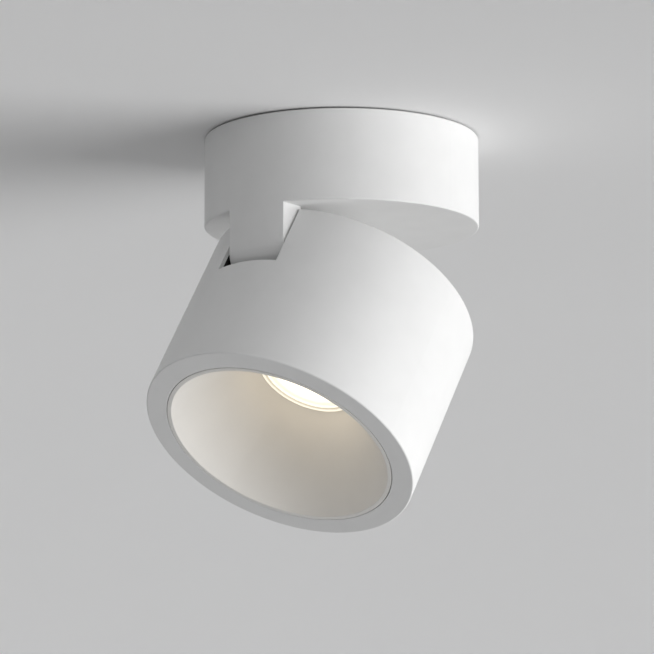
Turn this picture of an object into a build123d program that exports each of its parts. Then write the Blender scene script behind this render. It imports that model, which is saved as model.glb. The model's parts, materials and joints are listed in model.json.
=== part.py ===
from build123d import *
import os
from math import cos, hypot, radians, sin

# Surface-mounted ceiling spotlight: a plate screwed to the ceiling, a round canopy that swivels on it,
# and a round head of the same diameter that tilts on a lug of the canopy's wall.
# Millimetres. The ceiling is the plane Z = 0, the light hangs below it, and the lug is on the -Y side.
# The head is drawn in its own frame, measured from its mouth, and stands at its rest tilt.

os.makedirs("parts", exist_ok=True)

# Main sizes
body_diameter = 90.0
canopy_height = 29.6
head_length = 60.7
shadow_gap = 0.5
closed_gap = 0.8
rest_tilt = 32.6
edge_radius = 0.5

# Hinge between canopy and head
hinge_inset = 5.0
hinge_drop = 13.3
lug_width = 22.4
lug_end_rise = 4.6
lug_end_setback = 1.3
lug_heel_radius = 4.0
lug_edge_radius = 0.3
slot_side_clearance = 0.7
slot_depth = 22.1
pin_radius = 1.5
pin_reach = 3.1
pin_end_chamfer = 0.3
pin_seat_clearance = 0.02
pin_running_clearance = 0.03
washer_radius = 2.8
washer_play = 0.05
knuckle_clearance = 0.6
cheek_width = 4.9
yoke_back = 2.0
yoke_drop = 9.6
yoke_floor = 1.6
yoke_headroom = 1.2
yoke_clearance = 0.3
yoke_screw_offset = 5.0
yoke_screw_inset = 2.4
yoke_screw_grip = 1.7
tongue_width = 1.2
tongue_reach = 1.9
tongue_pin_gap = 0.7
tongue_clearance = 0.1

# Canopy
canopy_wall = 2.5
canopy_floor = 3.0
ridge_depth = 1.5
ridge_land = 1.6
passage_radius = 2.0
passage_above_hinge = 7.0
lug_grommet_flange = 1.2
lug_grommet_gap = 0.3
lug_grommet_bore = 1.2
lug_grommet_thickness = 1.0

# Ceiling plate
plate_gap = 2.5
plate_thickness = 2.0
plate_rim_height = 3.5
plate_rim_width = 1.2
screw_spacing = 56.0
screw_slot_length = 10.0
screw_slot_width = 4.8
cable_entry_offset = 14.0
cable_bore_radius = 4.0
grommet_neck = 2.0
grommet_flange = 1.6
grommet_flange_thickness = 2.0
stop_inset = 6.0
stop_width = 4.6
stop_tab_thickness = 1.5
stop_tab_length = 14.0
stop_post_thickness = 2.0
stop_overlap = 3.0

# Retaining springs
spring_count = 3
spring_first_angle = 90.0
spring_width = 9.0
spring_thickness = 0.6
spring_bend = 0.8
spring_foot_inset = 3.0
spring_foot_length = 10.0
spring_knee_out = 1.0
spring_knee_drop = 3.2
spring_nose_drop = 3.5
spring_tail_drop = 3.0
spring_tail_in = 3.6
spring_clearance = 0.35
rivet_setback = 3.5
rivet_radius = 1.25
rivet_head_radius = 2.4
rivet_head_height = 1.0

# Mains connection
pole_pitch = 8.0
pole_count = 3
terminal_width = 14.0
terminal_height = 10.0
terminal_end = 5.0
terminal_offset = 13.0
terminal_corner = 1.0
wire_entry_radius = 1.8
wire_entry_depth = 6.6
well_radius = 1.9
well_depth = 6.0
clamp_screw_height = 3.0
earth_gap = 1.7
earth_direction = 225.0
earth_head_radius = 3.2
earth_head_height = 2.4

# Driver
driver_length = 56.0
driver_width = 32.0
driver_headroom = 2.5
driver_wall = 1.5
driver_corner = 2.0
driver_lid_thickness = 1.5
driver_lid_lip = 2.0
driver_ear = 6.0
driver_ear_width = 10.0
driver_ear_thickness = 2.0
board_thickness = 1.6
board_standoff = 1.0
standoff_radius = 1.3
transformer_length = 13.0
transformer_width = 12.0
transformer_headroom = 1.4
capacitor_radius = 2.6
capacitor_spacing = 7.0
capacitor_headroom = 1.9

# Head shell
head_wall = 2.5
rim_width = 7.0
rim_thickness = 3.0
rim_inner_edge_radius = 0.1
rebate_depth = 3.0
rebate_width = 0.8
cover_recess = 0.5
cover_clearance = 0.15
ledge_height = 38.0
ledge_width = 1.2
boss_radius = 4.2
boss_overlap = 0.6
boss_length = 8.0

# Reflector, lens ring and lens
reflector_gap = 0.25
reflector_lip = 1.3
reflector_lip_radius = 0.2
reflector_flange = 1.2
reflector_seat = 0.4
reflector_wall = 1.2
throat_radius = 17.0
collar_clearance = 0.25
lens_ring_show = 1.6
lens_ring_wall = 2.2
lens_ring_lip = 0.8
lens_ring_height = 4.7
ring_clearance = 0.3
lens_clearance = 0.2
lens_thickness = 2.6
lens_dome = 0.5
lens_flat = 1.0

# Light source
pad_thickness = 0.4
board_size = 19.0
cob_thickness = 1.4
emitter_radius = 6.5
emitter_thickness = 0.8
holder_height = 4.75
holder_window_clearance = 1.0
holder_mouth_radius = 12.5
holder_pocket_clearance = 0.2
holder_gap = 0.05
holder_screw_offset = 15.4

# Heat sink
sink_clearance = 0.2
sink_base = 4.0
fin_headroom = 2.2
fin_thickness = 1.6
fin_pitch = 5.2
fin_edge_gap = 2.5
fin_screw_gap = 1.0
post_radius = 3.4
post_inset = 6.8
post_count = 4
post_first_angle = 45.0
sink_screw_count = 3
sink_screw_first_angle = 90.0
sink_notch_clearance = 0.5

# Small screws, by shank radius
screw_clearance = 0.05
small_screw_radius = 1.0
small_head_radius = 1.9
small_head_height = 1.4
medium_screw_radius = 1.25
medium_head_radius = 2.4
medium_head_height = 1.8
screw_grip = 6.0
hole_spare = 0.5
socket_share = 0.5

# Levels and radii of the canopy, downward from the ceiling
body_radius = body_diameter / 2
canopy_top = -shadow_gap
underside = canopy_top - canopy_height
floor_top = underside + canopy_floor
canopy_bore = body_radius - canopy_wall
plate_under = -plate_thickness
plate_radius = canopy_bore - plate_gap
stop_radius = plate_radius - stop_inset

# Hinge axis, parallel to X, and the clear spaces round it
hinge_radius = body_radius - hinge_inset
hinge_z = underside - hinge_drop
hinge_point = Vector(0, -hinge_radius, hinge_z)
knuckle_radius = hinge_inset
lug_inner = hinge_radius - knuckle_radius
slot_half = lug_width / 2 + slot_side_clearance
pocket_depth = lug_inner - knuckle_clearance
yoke_half = slot_half + cheek_width
yoke_rear = pocket_depth - yoke_back
tongue_side = slot_half + tongue_width
tongue_recess = hinge_radius + tongue_reach + tongue_clearance
pin_half = slot_half + pin_reach

# Head frame: heights are measured from the mouth along the head's axis
tilt = radians(rest_tilt)
head_up = Vector(0, sin(tilt), cos(tilt))
head_back = Vector(0, cos(tilt), -sin(tilt))
hinge_height = head_length + closed_gap - hinge_drop
mouth_centre = hinge_point + head_back * hinge_radius - head_up * hinge_height
mouth_plane = Plane(origin=mouth_centre, x_dir=(1, 0, 0), z_dir=head_up)
head_section = Plane(origin=mouth_centre, x_dir=(1, 0, 0), z_dir=-head_back)
head_axis = Axis(mouth_centre, head_up)
slot_floor = head_length - slot_depth
tongue_top = hinge_height - pin_radius - tongue_pin_gap
head_bore = body_radius - head_wall
ledge_radius = head_bore - ledge_width
rebate_floor = head_length - rebate_depth
rebate_radius = head_bore + rebate_width
boss_circle = ledge_radius - boss_radius + boss_overlap
yoke_base = hinge_height - yoke_drop
yoke_top = rebate_floor - yoke_headroom
sink_top = ledge_height + sink_base
cover_thickness = rebate_depth - cover_recess

# Planes square to the hinge axis, one standing with the canopy and one with the head
lug_plane = Plane(origin=hinge_point, x_dir=(0, 1, 0), z_dir=(1, 0, 0))
pin_plane = Plane(origin=hinge_point, x_dir=head_back, z_dir=(1, 0, 0))


def across(height):
    """Plane square to the head's axis, at a height above the mouth."""
    return mouth_plane.offset(height)


def facing_lug(setback):
    """Plane in the head that looks back from the lug side, at a distance in front of the head's axis."""
    origin = mouth_centre - head_back * setback
    return Plane(origin=origin, x_dir=(1, 0, 0), z_dir=-head_back)


def radial_plane(angle):
    """Upright plane through the canopy's axis: its x runs outward and its y runs up."""
    turn = radians(angle)
    return Plane(origin=(0, 0, 0), x_dir=(cos(turn), sin(turn), 0), z_dir=(sin(turn), -cos(turn), 0))


# Retaining spring: a foot under the plate, a leg, and a nose that carries the canopy's inner ridge
spring_foot_end = plate_radius - spring_foot_inset
spring_foot_start = spring_foot_end - spring_foot_length
rivet_circle = spring_foot_start + rivet_setback
spring_foot_level = plate_under - spring_thickness / 2
spring_knee = (spring_foot_end + spring_knee_out, spring_foot_level - spring_knee_drop)
spring_nose = (canopy_bore - spring_clearance, spring_knee[1] - spring_nose_drop)
spring_tail = (spring_nose[0] - spring_tail_in, spring_nose[1] - spring_tail_drop)
spring_slope = (spring_nose[1] - spring_knee[1]) / (spring_nose[0] - spring_knee[0])
spring_angles = [spring_first_angle + 360 / spring_count * i for i in range(spring_count)]

# Canopy ridge: its lower flank lies along the springs' noses
ridge_radius = canopy_bore - ridge_depth
flank_rise = (spring_thickness / 2 + spring_clearance) * hypot(1, spring_slope)
ridge_foot_level = spring_nose[1] + spring_slope * (canopy_bore - spring_nose[0]) + flank_rise
ridge_edge_level = spring_nose[1] + spring_slope * (ridge_radius - spring_nose[0]) + flank_rise
ridge_land_top = ridge_edge_level + ridge_land
ridge_top = ridge_land_top + ridge_depth

# Ceiling plate: the earth screw stands beside the cable entry's grommet
cable_entry = (0, -cable_entry_offset)
terminal_centre = (0, terminal_offset)
terminal_length = pole_pitch * (pole_count - 1) + 2 * terminal_end
cable_hole_radius = cable_bore_radius + grommet_neck
earth_reach = cable_hole_radius + grommet_flange + earth_gap + earth_head_radius
earth_turn = radians(earth_direction)
earth_position = (earth_reach * cos(earth_turn), earth_reach * sin(earth_turn) - cable_entry_offset)
stop_tab_end = plate_under - stop_tab_length

with BuildPart() as ceiling_plate:
    with BuildSketch(Plane.XY.offset(plate_under)):
        Circle(plate_radius)
        with GridLocations(screw_spacing, 0, 2, 1):
            SlotOverall(screw_slot_length, screw_slot_width, mode=Mode.SUBTRACT)
        with Locations(cable_entry):
            Circle(cable_hole_radius + screw_clearance, mode=Mode.SUBTRACT)
        with PolarLocations(rivet_circle, spring_count, start_angle=spring_first_angle):
            Circle(rivet_radius + screw_clearance, mode=Mode.SUBTRACT)
        with Locations(earth_position):
            Circle(medium_screw_radius + screw_clearance, mode=Mode.SUBTRACT)
        with Locations(terminal_centre):
            with GridLocations(pole_pitch, 0, pole_count - 1, 1):
                Circle(small_screw_radius + screw_clearance, mode=Mode.SUBTRACT)
    extrude(amount=plate_thickness)
    with BuildSketch(Plane.XY.offset(-plate_rim_height)):
        Circle(plate_radius)
        Circle(plate_radius - plate_rim_width, mode=Mode.SUBTRACT)
    extrude(amount=plate_rim_height)
    with BuildSketch(Plane.XY.offset(stop_tab_end)):
        with Locations((0, -stop_radius)):
            Rectangle(stop_width, stop_tab_thickness)
    extrude(amount=stop_tab_length)
ceiling_plate.part.label = "ceiling_plate"
export_step(ceiling_plate.part, "parts/ceiling_plate.step")

# Rubber grommet, pressed up into the plate from below
with BuildPart() as cable_grommet:
    with BuildSketch(Plane.XY.offset(plate_under)):
        with Locations(cable_entry):
            Circle(cable_hole_radius)
    extrude(amount=plate_thickness)
    with BuildSketch(Plane.XY.offset(plate_under - grommet_flange_thickness)):
        with Locations(cable_entry):
            Circle(cable_hole_radius + grommet_flange)
    extrude(amount=grommet_flange_thickness)
    fillet(cable_grommet.faces().sort_by(Axis.Z)[0].outer_wire().edges(), radius=grommet_flange / 2)
    with BuildSketch(Plane.XY.offset(plate_under - grommet_flange_thickness)):
        with Locations(cable_entry):
            Circle(cable_bore_radius)
    extrude(amount=grommet_flange_thickness + plate_thickness, mode=Mode.SUBTRACT)
cable_grommet.part.label = "cable_grommet"
export_step(cable_grommet.part, "parts/cable_grommet.step")

# Spring strips, riveted under the plate
with BuildPart() as retaining_springs:
    for angle in spring_angles:
        with BuildSketch(radial_plane(angle)):
            with BuildLine():
                FilletPolyline(
                    (spring_foot_start, spring_foot_level),
                    (spring_foot_end, spring_foot_level),
                    spring_knee,
                    spring_nose,
                    spring_tail,
                    radius=spring_bend,
                )
            trace(line_width=spring_thickness)
        extrude(amount=spring_width / 2, both=True)
    with BuildSketch(Plane.XY.offset(plate_under)):
        with PolarLocations(rivet_circle, spring_count, start_angle=spring_first_angle):
            Circle(rivet_radius + screw_clearance)
    extrude(amount=-spring_thickness, mode=Mode.SUBTRACT)
retaining_springs.part.label = "retaining_springs"
export_step(retaining_springs.part, "parts/retaining_springs.step")

with BuildPart() as spring_rivets:
    with BuildSketch(Plane.XY.offset(plate_under - spring_thickness)):
        with PolarLocations(rivet_circle, spring_count, start_angle=spring_first_angle):
            Circle(rivet_radius)
    extrude(amount=spring_thickness + plate_thickness)
    with BuildSketch(Plane.XY.offset(plate_under - spring_thickness)):
        with PolarLocations(rivet_circle, spring_count, start_angle=spring_first_angle):
            Circle(rivet_head_radius)
    extrude(amount=-rivet_head_height)
    rivet_rims = spring_rivets.faces().group_by(Axis.Z)[0].edges()
    fillet(rivet_rims, radius=rivet_head_height / 2)
spring_rivets.part.label = "spring_rivets"
export_step(spring_rivets.part, "parts/spring_rivets.step")

# Terminal block: wire entries along Y, clamping screws in wells that open downward
terminal_under = plate_under - terminal_height

with BuildPart() as terminal_block:
    with BuildSketch(Plane.XY.offset(terminal_under)):
        with Locations(terminal_centre):
            RectangleRounded(terminal_length, terminal_width, terminal_corner)
    extrude(amount=terminal_height)
    with BuildSketch(Plane.XY.offset(terminal_under)):
        with Locations(terminal_centre):
            with GridLocations(pole_pitch, 0, pole_count, 1):
                Circle(well_radius)
    extrude(amount=well_depth, mode=Mode.SUBTRACT)
    with BuildSketch(Plane.XY.offset(terminal_under)):
        with Locations(terminal_centre):
            with GridLocations(pole_pitch, 0, pole_count - 1, 1):
                Circle(small_screw_radius + screw_clearance)
    extrude(amount=terminal_height, mode=Mode.SUBTRACT)
    with BuildSketch(Plane.XZ.offset(-terminal_offset)):
        with Locations((0, terminal_under + wire_entry_depth)):
            with GridLocations(pole_pitch, 0, pole_count, 1):
                Circle(wire_entry_radius)
    extrude(amount=terminal_width / 2, both=True, mode=Mode.SUBTRACT)
terminal_block.part.label = "terminal_block"
export_step(terminal_block.part, "parts/terminal_block.step")

clamp_screw_level = terminal_under + well_depth - wire_entry_radius

with BuildPart() as terminal_screws:
    with BuildSketch(Plane.XY.offset(clamp_screw_level - clamp_screw_height)):
        with Locations(terminal_centre):
            with GridLocations(pole_pitch, 0, pole_count, 1):
                Circle(well_radius - screw_clearance)
    extrude(amount=clamp_screw_height)
    with BuildSketch(Plane.XY.offset(clamp_screw_level - clamp_screw_height)):
        with Locations(terminal_centre):
            with GridLocations(pole_pitch, 0, pole_count, 1):
                Rectangle(2 * well_radius, well_radius * socket_share / 2)
    extrude(amount=clamp_screw_height * socket_share / 2, mode=Mode.SUBTRACT)
terminal_screws.part.label = "terminal_screws"
export_step(terminal_screws.part, "parts/terminal_screws.step")

with BuildPart() as terminal_fixing_screws:
    with BuildSketch(Plane.XY.offset(terminal_under)):
        with Locations(terminal_centre):
            with GridLocations(pole_pitch, 0, pole_count - 1, 1):
                Circle(small_screw_radius)
    extrude(amount=terminal_height + plate_thickness)
    with BuildSketch(Plane.XY.offset(terminal_under)):
        with Locations(terminal_centre):
            with GridLocations(pole_pitch, 0, pole_count - 1, 1):
                Circle(small_head_radius)
    extrude(amount=-small_head_height)
terminal_fixing_screws.part.label = "terminal_fixing_screws"
export_step(terminal_fixing_screws.part, "parts/terminal_fixing_screws.step")

# Earth screw with its cross-cut head
with BuildPart() as earth_screw:
    with BuildSketch(Plane.XY.offset(plate_under)):
        with Locations(earth_position):
            Circle(medium_screw_radius)
    extrude(amount=plate_thickness)
    with BuildSketch(Plane.XY.offset(plate_under)):
        with Locations(earth_position):
            Circle(earth_head_radius)
    extrude(amount=-earth_head_height)
    with BuildSketch(Plane.XY.offset(plate_under - earth_head_height)):
        with Locations(earth_position):
            Rectangle(earth_head_radius, earth_head_radius * socket_share / 2)
            Rectangle(earth_head_radius * socket_share / 2, earth_head_radius)
    extrude(amount=earth_head_height * socket_share, mode=Mode.SUBTRACT)
earth_screw.part.label = "earth_screw"
export_step(earth_screw.part, "parts/earth_screw.step")

# Canopy: a turned cup with an inner ridge near its rim, and the hinge lug that carries on its outer wall
passage_radius_from_axis = canopy_bore - lug_grommet_gap - lug_grommet_flange - passage_radius
passage_end = hinge_z + passage_above_hinge
stop_post_top = stop_tab_end + stop_overlap
lug_end = hinge_z - knuckle_radius
lug_top = underside + canopy_floor / 2
lug_toe = body_radius - lug_end_setback
driver_screw_offset = (driver_length + driver_ear) / 2
driver_screw_depth = canopy_floor - edge_radius

with BuildPart() as canopy_housing:
    # Lug: turned to the wall's radius with a rounded end, and cut to its width and depth
    with BuildSketch(Plane.XZ):
        with BuildLine():
            TangentArc((body_radius, lug_end + lug_end_rise), (lug_toe, lug_end), tangent=(0, -1))
            Polyline(
                (lug_toe, lug_end),
                (0, lug_end),
                (0, lug_top),
                (body_radius, lug_top),
                (body_radius, lug_end + lug_end_rise),
            )
        make_face()
    revolve(axis=Axis.Z)
    with BuildSketch(Plane.XY.offset(lug_end)):
        with Locations((0, -(body_radius + lug_inner) / 2)):
            Rectangle(lug_width, body_radius - lug_inner)
    extrude(amount=lug_top - lug_end, mode=Mode.INTERSECT)
    lug_heel = canopy_housing.faces().sort_by(Axis.Z)[0].edges().sort_by(Axis.Y)[-1]
    fillet(lug_heel, radius=lug_heel_radius)
    lug_sides = canopy_housing.faces().filter_by(Axis.X)
    lug_front_edges = lug_sides.edges().sort_by(Axis.Y)[:4]
    fillet(lug_front_edges, radius=lug_edge_radius)
    with BuildSketch(Plane.XZ) as cup_section:
        with BuildLine():
            Polyline(
                (0, underside),
                (body_radius, underside),
                (body_radius, canopy_top),
                (canopy_bore, canopy_top),
                (canopy_bore, ridge_top),
                (ridge_radius, ridge_land_top),
                (ridge_radius, ridge_edge_level),
                (canopy_bore, ridge_foot_level),
                (canopy_bore, floor_top),
                (0, floor_top),
                close=True,
            )
        make_face()
        fillet(cup_section.vertices().group_by(Axis.X)[-1], radius=edge_radius)
    revolve(axis=Axis.Z)
    # Hinge bore across the lug
    with BuildSketch(lug_plane):
        Circle(pin_radius + pin_running_clearance)
    extrude(amount=lug_width / 2, both=True, mode=Mode.SUBTRACT)
    # Passage for the lead, down into the lug and out of its inner face
    with BuildSketch(Plane.XY.offset(floor_top)):
        with Locations((0, -passage_radius_from_axis)):
            Circle(passage_radius)
    extrude(amount=passage_end - passage_radius - floor_top, mode=Mode.SUBTRACT)
    with BuildSketch(Plane.XZ.offset(passage_radius_from_axis)):
        with Locations((0, passage_end)):
            Circle(passage_radius)
    extrude(amount=lug_inner - passage_radius_from_axis, mode=Mode.SUBTRACT)
    # Stop post opposite the lug, and holes for the driver's screws
    with BuildSketch(Plane.XY.offset(floor_top)):
        with Locations((0, stop_radius)):
            Rectangle(stop_width, stop_post_thickness)
    extrude(amount=stop_post_top - floor_top)
    with BuildSketch(Plane.XY.offset(floor_top)):
        with GridLocations(2 * driver_screw_offset, 0, 2, 1):
            Circle(small_screw_radius + screw_clearance)
    extrude(amount=-driver_screw_depth, mode=Mode.SUBTRACT)
canopy_housing.part.label = "canopy_housing"
export_step(canopy_housing.part, "parts/canopy_housing.step")

# Grommet in the mouth of the lug's passage
with BuildPart() as lug_grommet:
    with BuildSketch(Plane.XY.offset(floor_top)):
        with Locations((0, -passage_radius_from_axis)):
            Circle(passage_radius - screw_clearance)
    extrude(amount=-canopy_floor)
    with BuildSketch(Plane.XY.offset(floor_top)):
        with Locations((0, -passage_radius_from_axis)):
            Circle(passage_radius + lug_grommet_flange)
    extrude(amount=lug_grommet_thickness)
    with BuildSketch(Plane.XY.offset(floor_top - canopy_floor)):
        with Locations((0, -passage_radius_from_axis)):
            Circle(lug_grommet_bore)
    extrude(amount=canopy_floor + lug_grommet_thickness, mode=Mode.SUBTRACT)
lug_grommet.part.label = "lug_grommet"
export_step(lug_grommet.part, "parts/lug_grommet.step")

# Driver: a tray with two screw ears on the canopy's floor, a board inside and a lid with an inner lip
driver_top = terminal_under - small_head_height - driver_headroom - driver_lid_thickness
driver_height = driver_top - floor_top
driver_inner_length = driver_length - 2 * driver_wall
driver_inner_width = driver_width - 2 * driver_wall
driver_inner_corner = driver_corner - driver_wall / 2

with BuildPart() as driver_case:
    with BuildSketch(Plane.XY.offset(floor_top)):
        RectangleRounded(driver_length, driver_width, driver_corner)
    extrude(amount=driver_height)
    with BuildSketch(Plane.XY.offset(floor_top)):
        RectangleRounded(driver_length + 2 * driver_ear, driver_ear_width, driver_corner)
    extrude(amount=driver_ear_thickness)
    with BuildSketch(Plane.XY.offset(floor_top + driver_wall)):
        RectangleRounded(driver_inner_length, driver_inner_width, driver_inner_corner)
    extrude(amount=driver_height, mode=Mode.SUBTRACT)
    with BuildSketch(Plane.XY.offset(floor_top)):
        with GridLocations(2 * driver_screw_offset, 0, 2, 1):
            Circle(small_screw_radius + screw_clearance)
    extrude(amount=driver_ear_thickness, mode=Mode.SUBTRACT)
    with BuildSketch(Plane.XY.offset(floor_top + driver_wall)):
        with GridLocations(driver_inner_length / 2, driver_inner_width / 2, 2, 2):
            Circle(standoff_radius)
    extrude(amount=board_standoff)
driver_case.part.label = "driver_case"
export_step(driver_case.part, "parts/driver_case.step")

board_level = floor_top + driver_wall + board_standoff
board_top = board_level + board_thickness
transformer_height = driver_top - board_top - transformer_headroom
capacitor_height = driver_top - board_top - capacitor_headroom

with BuildPart() as driver_board:
    with BuildSketch(Plane.XY.offset(board_level)):
        Rectangle(driver_inner_length - 2 * driver_corner, driver_inner_width - 2 * driver_corner)
    extrude(amount=board_thickness)
    with BuildSketch(Plane.XY.offset(board_top)):
        Rectangle(transformer_length, transformer_width)
    extrude(amount=transformer_height)
    with BuildSketch(Plane.XY.offset(board_top)):
        with GridLocations(driver_inner_length - 2 * capacitor_spacing, capacitor_spacing, 2, 2):
            Circle(capacitor_radius)
    extrude(amount=capacitor_height)
driver_board.part.label = "driver_board"
export_step(driver_board.part, "parts/driver_board.step")

with BuildPart() as driver_lid:
    with BuildSketch(Plane.XY.offset(driver_top)):
        RectangleRounded(driver_length, driver_width, driver_corner)
    extrude(amount=driver_lid_thickness)
    chamfer(driver_lid.faces().sort_by(Axis.Z)[-1].edges(), length=driver_lid_thickness / 3)
    with BuildSketch(Plane.XY.offset(driver_top)):
        RectangleRounded(
            driver_inner_length - 2 * screw_clearance,
            driver_inner_width - 2 * screw_clearance,
            driver_inner_corner,
        )
        RectangleRounded(
            driver_inner_length - driver_wall,
            driver_inner_width - driver_wall,
            driver_inner_corner / 2,
            mode=Mode.SUBTRACT,
        )
    extrude(amount=-driver_lid_lip)
driver_lid.part.label = "driver_lid"
export_step(driver_lid.part, "parts/driver_lid.step")

with BuildPart() as driver_screws:
    with BuildSketch(Plane.XY.offset(floor_top + driver_ear_thickness)):
        with GridLocations(2 * driver_screw_offset, 0, 2, 1):
            Circle(small_head_radius)
    extrude(amount=small_head_height)
    with BuildSketch(Plane.XY.offset(floor_top + driver_ear_thickness)):
        with GridLocations(2 * driver_screw_offset, 0, 2, 1):
            Circle(small_screw_radius)
    extrude(amount=-(driver_ear_thickness + driver_screw_depth - hole_spare))
driver_screws.part.label = "driver_screws"
export_step(driver_screws.part, "parts/driver_screws.step")

# Head shell: a turned tube with a flat front rim, a ledge for the heat sink and a rebate for the rear cover
rim_opening = body_radius - rim_width
reflector_edge = rim_opening - reflector_gap
rim_seat_radius = reflector_edge - reflector_seat

with BuildPart() as head_housing:
    with BuildSketch(head_section) as shell_section:
        with BuildLine():
            Polyline(
                (rim_opening, 0),
                (body_radius, 0),
                (body_radius, head_length),
                (rebate_radius, head_length),
                (rebate_radius, rebate_floor),
                (head_bore, rebate_floor),
                (head_bore, ledge_height),
                (ledge_radius, ledge_height),
                (ledge_radius, rim_thickness),
                (rim_seat_radius, rim_thickness),
                (rim_seat_radius, reflector_flange),
                (rim_opening, reflector_flange),
                close=True,
            )
        make_face()
        fillet(shell_section.vertices().group_by(Axis.X)[-1], radius=edge_radius)
        front_inner = shell_section.vertices().group_by(Axis.X)[1].sort_by(Axis.Y)[0]
        fillet(front_inner, radius=rim_inner_edge_radius)
    revolve(axis=head_axis)
    # Screw bosses under the heat sink
    with BuildSketch(across(ledge_height - boss_length)):
        with PolarLocations(boss_circle, sink_screw_count, start_angle=sink_screw_first_angle):
            Circle(boss_radius)
    extrude(amount=boss_length)
    with BuildSketch(across(ledge_height)):
        with PolarLocations(boss_circle, sink_screw_count, start_angle=sink_screw_first_angle):
            Circle(medium_screw_radius + screw_clearance)
    extrude(amount=-(screw_grip + hole_spare), mode=Mode.SUBTRACT)
    # Slot for the lug
    with BuildSketch(across(slot_floor)):
        with Locations((0, -body_radius)):
            Rectangle(2 * slot_half, 2 * (body_radius - pocket_depth))
    extrude(amount=slot_depth, mode=Mode.SUBTRACT)
    # Flat seat for the yoke, through the hinge axis
    with BuildSketch(across(yoke_base - yoke_clearance)):
        with Locations((0, -(hinge_radius + yoke_rear) / 2)):
            Rectangle(2 * (yoke_half + yoke_clearance), hinge_radius - yoke_rear)
    extrude(amount=rebate_floor - yoke_base + yoke_clearance, mode=Mode.SUBTRACT)
    # Recesses beside the slot for the yoke's tongues
    with BuildSketch(across(slot_floor)):
        with Locations((0, -(tongue_recess + pocket_depth) / 2)):
            Rectangle(2 * (tongue_side + tongue_clearance), tongue_recess - pocket_depth)
    extrude(amount=tongue_top + tongue_clearance - slot_floor, mode=Mode.SUBTRACT)
    # Half-round seats for the pin and threaded holes for the yoke's screws
    with BuildSketch(pin_plane):
        Circle(pin_radius + pin_seat_clearance)
    extrude(amount=pin_half + yoke_clearance, both=True, mode=Mode.SUBTRACT)
    with BuildSketch(facing_lug(hinge_radius)):
        with Locations((0, hinge_height)):
            with GridLocations(2 * (slot_half + yoke_screw_inset), 2 * yoke_screw_offset, 2, 2):
                Circle(small_screw_radius + screw_clearance)
    extrude(amount=yoke_screw_grip, mode=Mode.SUBTRACT)
head_housing.part.label = "head_housing"
export_step(head_housing.part, "parts/head_housing.step")

# Hinge pin, held in the head and turning in the lug
with BuildPart() as hinge_pin:
    with BuildSketch(pin_plane):
        Circle(pin_radius)
    extrude(amount=pin_half, both=True)
    chamfer(hinge_pin.edges().filter_by(GeomType.CIRCLE), length=pin_end_chamfer)
hinge_pin.part.label = "hinge_pin"
export_step(hinge_pin.part, "parts/hinge_pin.step")

# Friction washers in the gaps beside the lug
washer_thickness = slot_side_clearance - 2 * washer_play

with BuildPart() as friction_washers:
    for side in (-1, 1):
        with BuildSketch(pin_plane.offset(side * (lug_width / 2 + slot_side_clearance / 2))):
            Circle(washer_radius)
            Circle(pin_radius + pin_running_clearance, mode=Mode.SUBTRACT)
        extrude(amount=washer_thickness / 2, both=True)
friction_washers.part.label = "friction_washers"
export_step(friction_washers.part, "parts/friction_washers.step")

# Yoke: two cheeks that clamp the pin against the shell, each with a tongue below the pin,
# a back wall behind the lug and a floor under it
lead_gap_floor = hinge_height + pin_radius + passage_radius

with BuildPart() as hinge_yoke:
    with BuildSketch(across(yoke_base)):
        with Locations((0, -(hinge_radius + yoke_rear) / 2)):
            Rectangle(2 * yoke_half, hinge_radius - yoke_rear)
    extrude(amount=yoke_top - yoke_base)
    with BuildSketch(across(slot_floor + tongue_clearance)):
        with Locations((0, -(hinge_radius + tongue_reach + pocket_depth) / 2)):
            Rectangle(2 * tongue_side, hinge_radius + tongue_reach - pocket_depth)
    extrude(amount=tongue_top - slot_floor - tongue_clearance)
    with BuildSketch(across(yoke_base + yoke_floor)):
        with Locations((0, -(body_radius + pocket_depth) / 2)):
            Rectangle(2 * slot_half, body_radius - pocket_depth)
    extrude(amount=yoke_top - yoke_base, mode=Mode.SUBTRACT)
    with BuildSketch(across(lead_gap_floor)):
        with Locations((0, -(pocket_depth + yoke_rear) / 2)):
            Rectangle(2 * passage_radius + yoke_back, yoke_back)
    extrude(amount=yoke_top - lead_gap_floor, mode=Mode.SUBTRACT)
    with BuildSketch(pin_plane):
        Circle(pin_radius + pin_seat_clearance)
    extrude(amount=pin_half + yoke_clearance, both=True, mode=Mode.SUBTRACT)
    with BuildSketch(facing_lug(yoke_rear)):
        with Locations((0, hinge_height)):
            with GridLocations(2 * (slot_half + yoke_screw_inset), 2 * yoke_screw_offset, 2, 2):
                Circle(small_screw_radius + screw_clearance)
    extrude(amount=hinge_radius - yoke_rear, mode=Mode.SUBTRACT)
hinge_yoke.part.label = "hinge_yoke"
export_step(hinge_yoke.part, "parts/hinge_yoke.step")

with BuildPart() as yoke_screws:
    with BuildSketch(facing_lug(yoke_rear)):
        with Locations((0, hinge_height)):
            with GridLocations(2 * (slot_half + yoke_screw_inset), 2 * yoke_screw_offset, 2, 2):
                Circle(small_head_radius)
    extrude(amount=-small_head_height)
    with BuildSketch(facing_lug(yoke_rear)):
        with Locations((0, hinge_height)):
            with GridLocations(2 * (slot_half + yoke_screw_inset), 2 * yoke_screw_offset, 2, 2):
                Circle(small_screw_radius)
    extrude(amount=hinge_radius - yoke_rear + yoke_screw_grip - hole_spare)
yoke_screws.part.label = "yoke_screws"
export_step(yoke_screws.part, "parts/yoke_screws.step")

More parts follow.
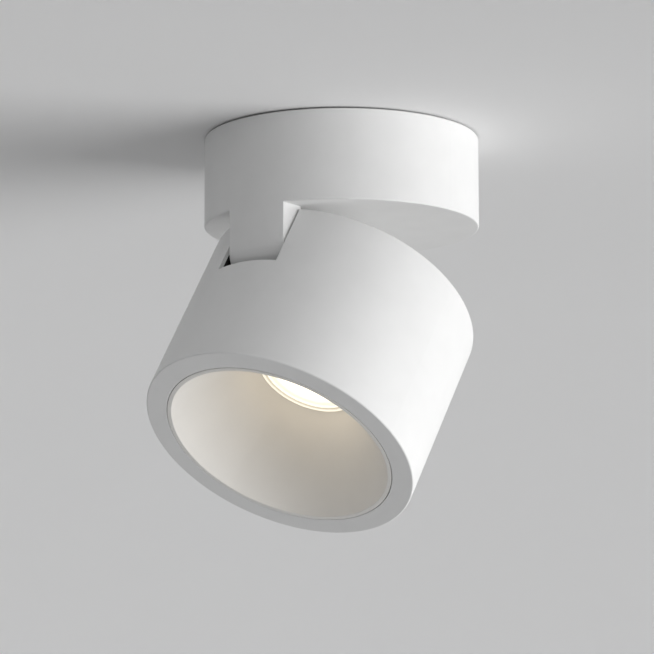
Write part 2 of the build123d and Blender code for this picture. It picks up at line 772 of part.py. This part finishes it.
# Heat sink: a disc on the shell's ledge, straight fins, and posts for the rear cover's screws
sink_notch_half = yoke_half + sink_notch_clearance
sink_notch_edge = yoke_rear - small_head_height - sink_notch_clearance
sink_radius = head_bore - sink_clearance
fin_circle = sink_radius - fin_edge_gap
fin_count = int(2 * fin_circle / fin_pitch)
fin_height = rebate_floor - fin_headroom - sink_top
post_circle = sink_radius - post_inset

with BuildPart() as heat_sink:
    with BuildSketch(across(ledge_height)):
        Circle(sink_radius)
    extrude(amount=sink_base)
    with BuildSketch(across(sink_top)):
        Circle(fin_circle)
        with GridLocations(fin_pitch, 0, fin_count, 1):
            Rectangle(fin_thickness, 2 * fin_circle, mode=Mode.INTERSECT)
        with PolarLocations(boss_circle, sink_screw_count, start_angle=sink_screw_first_angle):
            Circle(medium_head_radius + fin_screw_gap, mode=Mode.SUBTRACT)
    extrude(amount=fin_height)
    with BuildSketch(across(sink_top)):
        with PolarLocations(post_circle, post_count, start_angle=post_first_angle):
            Circle(post_radius)
    extrude(amount=rebate_floor - sink_top)
    with BuildSketch(across(ledge_height)):
        with Locations((0, -(body_radius + sink_notch_edge) / 2)):
            Rectangle(2 * sink_notch_half, body_radius - sink_notch_edge)
    extrude(amount=head_length - ledge_height, mode=Mode.SUBTRACT)
    with BuildSketch(across(ledge_height)):
        with PolarLocations(boss_circle, sink_screw_count, start_angle=sink_screw_first_angle):
            Circle(medium_screw_radius + screw_clearance)
        with GridLocations(2 * holder_screw_offset, 0, 2, 1):
            Circle(small_screw_radius + screw_clearance)
    extrude(amount=sink_base, mode=Mode.SUBTRACT)
    with BuildSketch(across(rebate_floor)):
        with PolarLocations(post_circle, post_count, start_angle=post_first_angle):
            Circle(medium_screw_radius + screw_clearance)
    extrude(amount=-(screw_grip + hole_spare), mode=Mode.SUBTRACT)
heat_sink.part.label = "heat_sink"
export_step(heat_sink.part, "parts/heat_sink.step")

with BuildPart() as heat_sink_screws:
    with BuildSketch(across(sink_top)):
        with PolarLocations(boss_circle, sink_screw_count, start_angle=sink_screw_first_angle):
            Circle(medium_head_radius)
    extrude(amount=medium_head_height)
    with BuildSketch(across(sink_top + medium_head_height)):
        with PolarLocations(boss_circle, sink_screw_count, start_angle=sink_screw_first_angle):
            RegularPolygon(medium_head_radius * socket_share, side_count=6)
    extrude(amount=-medium_head_height * socket_share, mode=Mode.SUBTRACT)
    with BuildSketch(across(sink_top)):
        with PolarLocations(boss_circle, sink_screw_count, start_angle=sink_screw_first_angle):
            Circle(medium_screw_radius)
    extrude(amount=-(sink_base + screw_grip))
heat_sink_screws.part.label = "heat_sink_screws"
export_step(heat_sink_screws.part, "parts/heat_sink_screws.step")

# Light source under the heat sink: thermal pad, board, emitting disc and the holder that clamps them
cob_top = ledge_height - pad_thickness
cob_face = cob_top - cob_thickness
emitter_face = cob_face - emitter_thickness
holder_floor = ledge_height - holder_height
lens_ring_top = holder_floor - holder_gap
lens_ring_floor = lens_ring_top - lens_ring_height
throat_height = lens_ring_floor - ring_clearance
lens_ring_radius = throat_radius + lens_ring_wall

with BuildPart() as thermal_pad:
    with BuildSketch(across(cob_top)):
        Rectangle(board_size, board_size)
    extrude(amount=pad_thickness)
thermal_pad.part.label = "thermal_pad"
export_step(thermal_pad.part, "parts/thermal_pad.step")

with BuildPart() as cob_board:
    with BuildSketch(across(cob_face)):
        Rectangle(board_size, board_size)
    extrude(amount=cob_thickness)
cob_board.part.label = "cob_board"
export_step(cob_board.part, "parts/cob_board.step")

with BuildPart() as led_emitter:
    with BuildSketch(across(emitter_face)):
        Circle(emitter_radius)
    extrude(amount=emitter_thickness)
led_emitter.part.label = "led_emitter"
export_step(led_emitter.part, "parts/led_emitter.step")

holder_window = emitter_radius + holder_window_clearance
holder_pocket = board_size + 2 * holder_pocket_clearance
holder_recess = small_head_height + holder_gap

with BuildPart() as cob_holder:
    with BuildSketch(across(holder_floor)):
        Circle(lens_ring_radius)
    extrude(amount=ledge_height - holder_floor)
    with BuildSketch(across(cob_face)):
        Rectangle(holder_pocket, holder_pocket)
    extrude(amount=ledge_height - cob_face, mode=Mode.SUBTRACT)
    with BuildSketch(head_section):
        with BuildLine():
            Polyline(
                (0, holder_floor),
                (holder_mouth_radius, holder_floor),
                (holder_window, emitter_face),
                (holder_window, cob_face),
                (0, cob_face),
                close=True,
            )
        make_face()
    revolve(axis=head_axis, mode=Mode.SUBTRACT)
    with BuildSketch(across(holder_floor)):
        with GridLocations(2 * holder_screw_offset, 0, 2, 1):
            Circle(small_head_radius + screw_clearance)
    extrude(amount=holder_recess, mode=Mode.SUBTRACT)
    with BuildSketch(across(holder_floor)):
        with GridLocations(2 * holder_screw_offset, 0, 2, 1):
            Circle(small_screw_radius + screw_clearance)
    extrude(amount=ledge_height - holder_floor, mode=Mode.SUBTRACT)
cob_holder.part.label = "cob_holder"
export_step(cob_holder.part, "parts/cob_holder.step")

with BuildPart() as cob_holder_screws:
    with BuildSketch(across(holder_floor + holder_recess)):
        with GridLocations(2 * holder_screw_offset, 0, 2, 1):
            Circle(small_head_radius)
    extrude(amount=-small_head_height)
    with BuildSketch(across(holder_floor + holder_recess)):
        with GridLocations(2 * holder_screw_offset, 0, 2, 1):
            Circle(small_screw_radius)
    extrude(amount=sink_top - hole_spare - holder_floor - holder_recess)
cob_holder_screws.part.label = "cob_holder_screws"
export_step(cob_holder_screws.part, "parts/cob_holder_screws.step")

# Lens ring at the reflector's throat, and the slightly domed lens that rests on its lip
lens_window = throat_radius - lens_ring_show
lens_seat_radius = throat_radius
lens_radius = lens_seat_radius - lens_clearance
lens_seat = lens_ring_floor + lens_ring_lip

with BuildPart() as lens_ring:
    with BuildSketch(head_section):
        with BuildLine():
            Polyline(
                (lens_window, lens_ring_floor),
                (lens_ring_radius, lens_ring_floor),
                (lens_ring_radius, lens_ring_top),
                (lens_seat_radius, lens_ring_top),
                (lens_seat_radius, lens_seat),
                (lens_window, lens_seat),
                close=True,
            )
        make_face()
    revolve(axis=head_axis)
lens_ring.part.label = "lens_ring"
export_step(lens_ring.part, "parts/lens_ring.step")

lens_dome_radius = lens_window - lens_flat

with BuildPart() as lens:
    with BuildSketch(head_section):
        with BuildLine():
            TangentArc((0, lens_seat - lens_dome), (lens_dome_radius, lens_seat), tangent=(1, 0))
            Polyline(
                (lens_dome_radius, lens_seat),
                (lens_radius, lens_seat),
                (lens_radius, lens_seat + lens_thickness),
                (0, lens_seat + lens_thickness),
                (0, lens_seat - lens_dome),
            )
        make_face()
    revolve(axis=head_axis)
lens.part.label = "lens"
export_step(lens.part, "parts/lens.step")

# Reflector: a straight cone with a front flange that is flush with the rim, and a collar that slips over
# the lens ring
cone_mouth = reflector_edge - reflector_lip
cone_slope = (cone_mouth - throat_radius) / throat_height
cone_wall_across = reflector_wall * hypot(1, cone_slope)
collar_bore = lens_ring_radius + collar_clearance
collar_radius = collar_bore + reflector_wall
flange_root = rim_seat_radius - collar_clearance
collar_root = (cone_mouth + cone_wall_across - collar_radius) / cone_slope

with BuildPart() as reflector:
    with BuildSketch(head_section) as reflector_section:
        with BuildLine():
            Polyline(
                (cone_mouth, 0),
                (reflector_edge, 0),
                (reflector_edge, reflector_flange),
                (flange_root, reflector_flange),
                (collar_radius, collar_root),
                (collar_radius, lens_ring_top),
                (collar_bore, lens_ring_top),
                (collar_bore, throat_height),
                (throat_radius, throat_height),
                close=True,
            )
        make_face()
        lip = reflector_section.vertices().group_by(Axis.Y)[0].sort_by(Axis.X)[0]
        fillet(lip, radius=reflector_lip_radius)
    revolve(axis=head_axis)
reflector.part.label = "reflector"
export_step(reflector.part, "parts/reflector.step")

# Rear cover in the shell's rebate, notched for the lug, and its countersunk screws
cover_top = rebate_floor + cover_thickness

with BuildPart() as rear_cover:
    with BuildSketch(across(rebate_floor)):
        Circle(rebate_radius - cover_clearance)
        with Locations((0, -(body_radius + pocket_depth) / 2)):
            Rectangle(2 * slot_half, body_radius - pocket_depth, mode=Mode.SUBTRACT)
        with PolarLocations(post_circle, post_count, start_angle=post_first_angle):
            Circle(medium_screw_radius + screw_clearance, mode=Mode.SUBTRACT)
    extrude(amount=cover_thickness)
    for index in range(post_count):
        with BuildSketch(across(cover_top)):
            with PolarLocations(post_circle, 1, start_angle=post_first_angle + 360 / post_count * index):
                Circle(medium_head_radius + screw_clearance)
        with BuildSketch(across(cover_top - medium_head_height)):
            with PolarLocations(post_circle, 1, start_angle=post_first_angle + 360 / post_count * index):
                Circle(medium_screw_radius + screw_clearance)
        loft(mode=Mode.SUBTRACT)
rear_cover.part.label = "rear_cover"
export_step(rear_cover.part, "parts/rear_cover.step")

with BuildPart() as rear_cover_screws:
    for index in range(post_count):
        with BuildSketch(across(cover_top)):
            with PolarLocations(post_circle, 1, start_angle=post_first_angle + 360 / post_count * index):
                Circle(medium_head_radius)
        with BuildSketch(across(cover_top - medium_head_height)):
            with PolarLocations(post_circle, 1, start_angle=post_first_angle + 360 / post_count * index):
                Circle(medium_screw_radius)
        loft()
    with BuildSketch(across(cover_top - medium_head_height)):
        with PolarLocations(post_circle, post_count, start_angle=post_first_angle):
            Circle(medium_screw_radius)
    extrude(amount=-(cover_thickness - medium_head_height + screw_grip))
    with BuildSketch(across(cover_top)):
        with PolarLocations(post_circle, post_count, start_angle=post_first_angle):
            RegularPolygon(medium_screw_radius, side_count=6)
    extrude(amount=-medium_head_height * socket_share, mode=Mode.SUBTRACT)
rear_cover_screws.part.label = "rear_cover_screws"
export_step(rear_cover_screws.part, "parts/rear_cover_screws.step")
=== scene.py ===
import json
import math

import bmesh
import bpy
from mathutils import Matrix, Vector


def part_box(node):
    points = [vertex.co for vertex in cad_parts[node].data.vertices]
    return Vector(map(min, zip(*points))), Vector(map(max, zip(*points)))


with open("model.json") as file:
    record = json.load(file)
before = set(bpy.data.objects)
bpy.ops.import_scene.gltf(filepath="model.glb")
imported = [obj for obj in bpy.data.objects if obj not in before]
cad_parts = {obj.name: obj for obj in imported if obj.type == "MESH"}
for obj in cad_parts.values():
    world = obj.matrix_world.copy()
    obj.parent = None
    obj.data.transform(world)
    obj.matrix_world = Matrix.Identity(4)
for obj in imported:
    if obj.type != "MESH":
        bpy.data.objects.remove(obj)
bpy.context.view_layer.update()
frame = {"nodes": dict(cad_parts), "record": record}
nodes = frame["nodes"]

# Camera of the photograph, in metres and degrees, with its focal length in pixels of the picture.
# It stands below the ceiling and looks up at the spotlight.
IMAGE_PIXELS = 654
FOCAL_PIXELS = 3274
SENSOR_WIDTH = 36.0
CAMERA_AZIMUTH = 38.74
CAMERA_DISTANCE = 1.0508
CAMERA_SIDEWAYS = -0.00484
CAMERA_HEIGHT = -0.254
CAMERA_PITCH = 10.31
CAMERA_ROLL = -0.06

# Stage: the ceiling that the spotlight hangs from, open above its plate, and a pale floor far below.
# The ceiling's colour holds painted shade: darker near, on the camera's side of the spotlight, and lighter
# far behind it, for how the light falls across the room.
CEILING_SIZE = 7.0
CEILING_HOLE_CLEARANCE = 0.0002
CEILING_HOLE_SIDES = 96
CEILING_NEAR_AZIMUTH = CAMERA_AZIMUTH
CEILING_NEAR = -0.3
CEILING_FAR = 2.2
CEILING_PAINTED_SHADE_TONES = [(0.0, (0.83, 0.83, 0.83)), (0.25, (0.9, 0.9, 0.9)), (1.0, (0.93, 0.93, 0.93))]
CEILING_ROUGHNESS = 0.9
FLOOR_LEVEL = -1.4
FLOOR_SIZE = 14.0
FLOOR_PAINT = (0.63, 0.63, 0.63)
FLOOR_ROUGHNESS = 0.8
FLOOR_GRAIN = 40
FLOOR_PATCHES = 2.0
FLOOR_TONE = 0.01
BACKDROP = (0.56, 0.56, 0.56)

# Daylight: soft sun from the right of the camera, low under the ceiling, and an even surround
SUN_AZIMUTH = 73.0
SUN_ELEVATION = -13.0
SUN_SPREAD = 62.0
SUN_STRENGTH = 3.6
WORLD_COLOUR = (0.97, 0.98, 1.0)
WORLD_STRENGTH = 0.33

# Noise: the middle range of its values, its detail, and how many grains wide a patch of tone is
NOISE_LOW = 0.3
NOISE_HIGH = 0.7
PATCH_DETAIL = 2.0
GRAIN_DETAIL = 3.0
GRAINS_PER_PATCH = 25
GLOSS_CHANGE = 0.1

# Surface of the lens and its ring
LENS_GRAIN = 900
LENS_RELIEF = 0.00005
LENS_BUMP = 0.2


def new_material(name):
    """A material with one Principled shader, its node tree and that shader."""
    material = bpy.data.materials.new(name)
    material.use_nodes = True
    tree = material.node_tree
    tree.nodes.clear()
    output = tree.nodes.new("ShaderNodeOutputMaterial")
    shader = tree.nodes.new("ShaderNodeBsdfPrincipled")
    tree.links.new(shader.outputs["BSDF"], output.inputs["Surface"])
    return material, tree, shader


def object_noise(tree, scale, detail, stretch=(1, 1, 1)):
    """Noise over the piece's own coordinates: scale is in cells per metre."""
    coordinates = tree.nodes.new("ShaderNodeTexCoord")
    mapping = tree.nodes.new("ShaderNodeMapping")
    mapping.inputs["Scale"].default_value = stretch
    noise = tree.nodes.new("ShaderNodeTexNoise")
    noise.inputs["Scale"].default_value = scale
    noise.inputs["Detail"].default_value = detail
    tree.links.new(coordinates.outputs["Object"], mapping.inputs["Vector"])
    tree.links.new(mapping.outputs["Vector"], noise.inputs["Vector"])
    return noise.outputs["Fac"]


def ramp(tree, factor, stops):
    """A colour ramp over factor: stops are (position, colour) pairs."""
    node = tree.nodes.new("ShaderNodeValToRGB")
    elements = node.color_ramp.elements
    while len(elements) < len(stops):
        elements.new(0.5)
    for element, (position, colour) in zip(elements, stops):
        element.position = position
        element.color = (*colour, 1.0)
    tree.links.new(factor, node.inputs["Fac"])
    return node.outputs["Color"]


def spread(tree, factor, low, high):
    """Maps the middle range of noise to a range of values."""
    node = tree.nodes.new("ShaderNodeMapRange")
    node.inputs["From Min"].default_value = NOISE_LOW
    node.inputs["From Max"].default_value = NOISE_HIGH
    node.inputs["To Min"].default_value = low
    node.inputs["To Max"].default_value = high
    tree.links.new(factor, node.inputs["Value"])
    return node.outputs["Result"]


def add_bump(tree, shader, height, strength, distance):
    """Fine relief, distance in metres."""
    node = tree.nodes.new("ShaderNodeBump")
    node.inputs["Strength"].default_value = strength
    node.inputs["Distance"].default_value = distance
    tree.links.new(height, node.inputs["Height"])
    tree.links.new(node.outputs["Normal"], shader.inputs["Normal"])


def shade(colour, factor):
    """The colour made lighter or darker."""
    return tuple(min(1.0, channel * factor) for channel in colour)


def patches(tree, colour, tone, scale):
    """The colour in soft patches, lighter and darker by the tone's share."""
    noise = object_noise(tree, scale, PATCH_DETAIL)
    stops = [(NOISE_LOW, shade(colour, 1 - tone)), (NOISE_HIGH, shade(colour, 1 + tone))]
    return ramp(tree, noise, stops)


def mix(tree, factor, first, second, output):
    """Joins two shaders by a factor, as the output's surface."""
    choice = tree.nodes.new("ShaderNodeMixShader")
    tree.links.new(factor, choice.inputs["Fac"])
    tree.links.new(first, choice.inputs[1])
    tree.links.new(second, choice.inputs[2])
    tree.links.new(choice.outputs["Shader"], output.inputs["Surface"])


def textured(name, colour, roughness, metallic=0.0, grain=1500, tone=0.03, relief=0.00003, strength=0.3,
             stretch=(1, 1, 1)):
    """A surface with slight changes of tone and gloss: grain is in cells per metre, relief in metres."""
    material, tree, shader = new_material(name)
    shader.inputs["Metallic"].default_value = metallic
    tree.links.new(patches(tree, colour, tone, grain / GRAINS_PER_PATCH), shader.inputs["Base Color"])
    grains = object_noise(tree, grain, GRAIN_DETAIL, stretch)
    gloss = spread(tree, grains, roughness * (1 - GLOSS_CHANGE), roughness * (1 + GLOSS_CHANGE))
    tree.links.new(gloss, shader.inputs["Roughness"])
    add_bump(tree, shader, grains, strength, relief)
    return material


def lamp_and_painted_glow_material(name, node, colour, roughness, stops, strength):
    """A round piece with a glow over shares of its radius, given by stops: the LED's own light on the
    lens, painted glow on the ring.
    """
    box_low, box_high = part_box(node)
    centre = (box_low + box_high) / 2
    radius = (box_high.x - box_low.x) / 2
    material, tree, shader = new_material(name)
    coordinates = tree.nodes.new("ShaderNodeTexCoord")
    offset = tree.nodes.new("ShaderNodeVectorMath")
    offset.operation = "DISTANCE"
    offset.inputs[1].default_value = centre
    tree.links.new(coordinates.outputs["Object"], offset.inputs[0])
    share = tree.nodes.new("ShaderNodeMath")
    share.operation = "DIVIDE"
    share.inputs[1].default_value = radius
    tree.links.new(offset.outputs["Value"], share.inputs[0])
    tree.links.new(ramp(tree, share.outputs["Value"], stops), shader.inputs["Emission Color"])
    shader.inputs["Emission Strength"].default_value = strength
    shader.inputs["Base Color"].default_value = (*colour, 1.0)
    shader.inputs["Roughness"].default_value = roughness
    add_bump(tree, shader, object_noise(tree, LENS_GRAIN, GRAIN_DETAIL), LENS_BUMP, LENS_RELIEF)
    return material


# Finish of each plain material slot, and the glow of the two round ones from the centre outward: the
# lens's glow is the LED's own light, the ring's is painted glow with a painted dark line of shade where it
# meets the lens
FINISHES = {
    "white_paint": dict(colour=(0.84, 0.84, 0.835), roughness=0.55, grain=2600, tone=0.012, relief=0.00002,
                        strength=0.15),
    "reflector_white": dict(colour=(0.86, 0.845, 0.815), roughness=0.42, grain=1800, tone=0.012),
    "zinc_steel": dict(colour=(0.62, 0.64, 0.66), roughness=0.35, metallic=1.0, grain=900, tone=0.12,
                       stretch=(1, 6, 1)),
    "spring_steel": dict(colour=(0.5, 0.5, 0.5), roughness=0.3, metallic=1.0, grain=1200, tone=0.06),
    "screw_steel": dict(colour=(0.6, 0.6, 0.61), roughness=0.3, metallic=1.0, tone=0.06),
    # Near black: partly the steel's dark finish, partly painted shade so that the hollow behind the hinge
    # slot reads dark
    "black_steel": dict(colour=(0.012, 0.012, 0.012), roughness=0.65, grain=2000, tone=0.2),
    "sink_aluminium": dict(colour=(0.7, 0.71, 0.72), roughness=0.45, metallic=1.0, grain=1200, tone=0.06),
    "rubber": dict(colour=(0.04, 0.04, 0.04), roughness=0.7, tone=0.15),
    "terminal_plastic": dict(colour=(0.8, 0.8, 0.76), roughness=0.45),
    "brass": dict(colour=(0.72, 0.55, 0.26), roughness=0.3, metallic=1.0, grain=1200, tone=0.08),
    "driver_plastic": dict(colour=(0.78, 0.78, 0.77), roughness=0.5),
    "circuit_board": dict(colour=(0.04, 0.2, 0.09), roughness=0.4, grain=900, tone=0.15),
    "washer_nylon": dict(colour=(0.8, 0.79, 0.74), roughness=0.45),
    "thermal_pad": dict(colour=(0.55, 0.57, 0.6), roughness=0.8, tone=0.08),
    "led_board": dict(colour=(0.84, 0.84, 0.82), roughness=0.4),
    "phosphor": dict(colour=(0.9, 0.7, 0.18), roughness=0.6, grain=2500, tone=0.05),
    "holder_plastic": dict(colour=(0.84, 0.84, 0.82), roughness=0.45),
}
# Painted glow on the ring, as light coming through it, with a painted dark golden line of shade from 0.836
# to 0.846 of its radius
RING_PAINTED_GLOW = [
    (0.826, (0.66, 0.62, 0.5)),
    (0.836, (0.26, 0.18, 0.03)),
    (0.846, (0.28, 0.2, 0.05)),
    (0.858, (0.62, 0.57, 0.48)),
]
LENS_GLOW = [
    (0.0, (1.0, 0.82, 0.58)),
    (0.65, (0.55, 0.46, 0.34)),
    (0.85, (0.17, 0.155, 0.12)),
    (1.0, (0.13, 0.115, 0.085)),
]

materials = {name: textured(name, **finish) for name, finish in FINISHES.items()}
# The ring is no lamp: its emission is painted glow
materials["ring_plastic"] = lamp_and_painted_glow_material("ring_plastic", "lens_ring", colour=(0.86, 0.84, 0.79),
                                         roughness=0.35, stops=RING_PAINTED_GLOW, strength=1.0)
materials["lens"] = lamp_and_painted_glow_material("lens", "lens", colour=(0.5, 0.49, 0.46),
                                 roughness=0.2, stops=LENS_GLOW, strength=5.0)

for subpart in frame["record"]["subparts"]:
    piece = nodes[subpart["node"]]
    piece.data.materials.clear()
    piece.data.materials.append(materials[subpart["material_slot"]])


def add_object(name, data):
    """A new object of the stage, linked to the scene."""
    thing = bpy.data.objects.new(name, data)
    bpy.context.scene.collection.objects.link(thing)
    return thing


def toward(azimuth, elevation):
    """Unit vector from the spotlight towards a place; azimuth 0 is the -Y side, turning to +X."""
    turn = math.radians(azimuth)
    rise = math.radians(elevation)
    return Vector((math.sin(turn) * math.cos(rise), -math.cos(turn) * math.cos(rise), math.sin(rise)))


def ceiling_material(name):
    """Matte paint that shows only from below, with painted shade: darker near the camera's side of the
    spotlight and lighter towards the far side of the room.
    """
    material, tree, shader = new_material(name)
    coordinates = tree.nodes.new("ShaderNodeTexCoord")
    depth = tree.nodes.new("ShaderNodeVectorMath")
    depth.operation = "DOT_PRODUCT"
    depth.inputs[1].default_value = -toward(CEILING_NEAR_AZIMUTH, 0)
    tree.links.new(coordinates.outputs["Object"], depth.inputs[0])
    share = tree.nodes.new("ShaderNodeMapRange")
    share.inputs["From Min"].default_value = CEILING_NEAR
    share.inputs["From Max"].default_value = CEILING_FAR
    tree.links.new(depth.outputs["Value"], share.inputs["Value"])
    # Painted shade: the ceiling's colour runs from darker near to lighter far
    painted_shade_tones = ramp(tree, share.outputs["Result"], CEILING_PAINTED_SHADE_TONES)
    tree.links.new(painted_shade_tones, shader.inputs["Base Color"])
    shader.inputs["Roughness"].default_value = CEILING_ROUGHNESS
    clear = tree.nodes.new("ShaderNodeBsdfTransparent")
    side = tree.nodes.new("ShaderNodeNewGeometry")
    output = tree.get_output_node("ALL")
    mix(tree, side.outputs["Backfacing"], shader.outputs["BSDF"], clear.outputs["BSDF"], output)
    return material


def stage_rays(tree):
    """1 for rays that show the stage in the picture: straight, mirrored or through glass."""
    path = tree.nodes.new("ShaderNodeLightPath")
    shown = path.outputs["Is Camera Ray"]
    for kind in ("Is Glossy Ray", "Is Transmission Ray"):
        either = tree.nodes.new("ShaderNodeMath")
        either.operation = "MAXIMUM"
        tree.links.new(shown, either.inputs[0])
        tree.links.new(path.outputs[kind], either.inputs[1])
        shown = either.outputs["Value"]
    return shown


def floor_material(name):
    """Pale floor that throws light up at the object and looks like the backdrop in the picture."""
    material = textured(name, FLOOR_PAINT, FLOOR_ROUGHNESS, grain=FLOOR_GRAIN, tone=FLOOR_TONE)
    material.cycles.emission_sampling = "NONE"
    tree = material.node_tree
    output = tree.get_output_node("ALL")
    shader = output.inputs["Surface"].links[0].from_node
    pale = tree.nodes.new("ShaderNodeEmission")
    tree.links.new(patches(tree, BACKDROP, FLOOR_TONE, FLOOR_PATCHES), pale.inputs["Color"])
    mix(tree, stage_rays(tree), shader.outputs["BSDF"], pale.outputs["Emission"], output)
    return material


def make_ceiling():
    """A square sheet facing down, level with the ceiling plate and with a round hole for it."""
    plate_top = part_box("ceiling_plate")[1]
    hole = plate_top.x + CEILING_HOLE_CLEARANCE
    half = CEILING_SIZE / 2
    mesh = bpy.data.meshes.new("ceiling")
    build = bmesh.new()
    inner = []
    outer = []
    for i in range(CEILING_HOLE_SIDES):
        angle = 2 * math.pi * i / CEILING_HOLE_SIDES
        across, along = math.cos(angle), math.sin(angle)
        reach = half / max(abs(across), abs(along))
        inner.append(build.verts.new((hole * across, hole * along, plate_top.z)))
        outer.append(build.verts.new((reach * across, reach * along, plate_top.z)))
    for i in range(CEILING_HOLE_SIDES):
        j = (i + 1) % CEILING_HOLE_SIDES
        build.faces.new((inner[i], inner[j], outer[j], outer[i]))
    build.normal_update()
    for face in build.faces:
        if face.normal.z > 0:
            face.normal_flip()
    build.to_mesh(mesh)
    build.free()
    sheet = add_object("ceiling", mesh)
    sheet.data.materials.append(ceiling_material("ceiling_paint_and_painted_shade"))


def make_floor():
    """A pale floor that lets the low sun through."""
    half = FLOOR_SIZE / 2
    mesh = bpy.data.meshes.new("floor")
    corners = [(-half, -half), (half, -half), (half, half), (-half, half)]
    mesh.from_pydata([(x, y, FLOOR_LEVEL) for x, y in corners], [], [(0, 1, 2, 3)])
    floor = add_object("floor", mesh)
    floor.data.materials.append(floor_material("floor_paint"))
    floor.visible_shadow = False


def make_sun():
    """Soft sun that metal doesn't mirror; its azimuth counts from the camera's side."""
    data = bpy.data.lights.new("sun", "SUN")
    data.energy = SUN_STRENGTH
    data.angle = math.radians(SUN_SPREAD)
    sun = add_object("sun", data)
    sun.visible_glossy = False
    away = toward(CAMERA_AZIMUTH + SUN_AZIMUTH, SUN_ELEVATION)
    sun.rotation_euler = away.to_track_quat("Z", "Y").to_euler()


def make_camera():
    """The photograph's camera."""
    turn = math.radians(CAMERA_AZIMUTH)
    pitch = math.radians(CAMERA_PITCH)
    roll = math.radians(CAMERA_ROLL)
    right = Vector((math.cos(turn), math.sin(turn), 0))
    ahead = Vector((-math.sin(turn), math.cos(turn), 0))
    up = Vector((0, 0, 1))
    look = ahead * math.cos(pitch) + up * math.sin(pitch)
    top = up * math.cos(pitch) - ahead * math.sin(pitch)
    data = bpy.data.cameras.new("camera")
    data.sensor_width = SENSOR_WIDTH
    data.lens = FOCAL_PIXELS / IMAGE_PIXELS * SENSOR_WIDTH
    camera = add_object("camera", data)
    place = right * CAMERA_SIDEWAYS - ahead * CAMERA_DISTANCE + up * CAMERA_HEIGHT
    basis = Matrix((right, top, -look)).transposed().to_4x4()
    camera.matrix_world = Matrix.Translation(place) @ basis @ Matrix.Rotation(roll, 4, "Z")
    bpy.context.scene.camera = camera


def make_world():
    """Even light from all round, with the pale backdrop where the picture shows it."""
    world = bpy.data.worlds.new("world")
    bpy.context.scene.world = world
    world.use_nodes = True
    tree = world.node_tree
    surround = tree.nodes["Background"]
    surround.inputs["Color"].default_value = (*WORLD_COLOUR, 1.0)
    surround.inputs["Strength"].default_value = WORLD_STRENGTH
    backdrop = tree.nodes.new("ShaderNodeBackground")
    backdrop.inputs["Color"].default_value = (*BACKDROP, 1.0)
    output = tree.nodes["World Output"]
    mix(tree, stage_rays(tree), surround.outputs["Background"], backdrop.outputs["Background"], output)


make_ceiling()
make_floor()
make_sun()
make_camera()
make_world()
bpy.context.scene.view_settings.view_transform = "Standard"
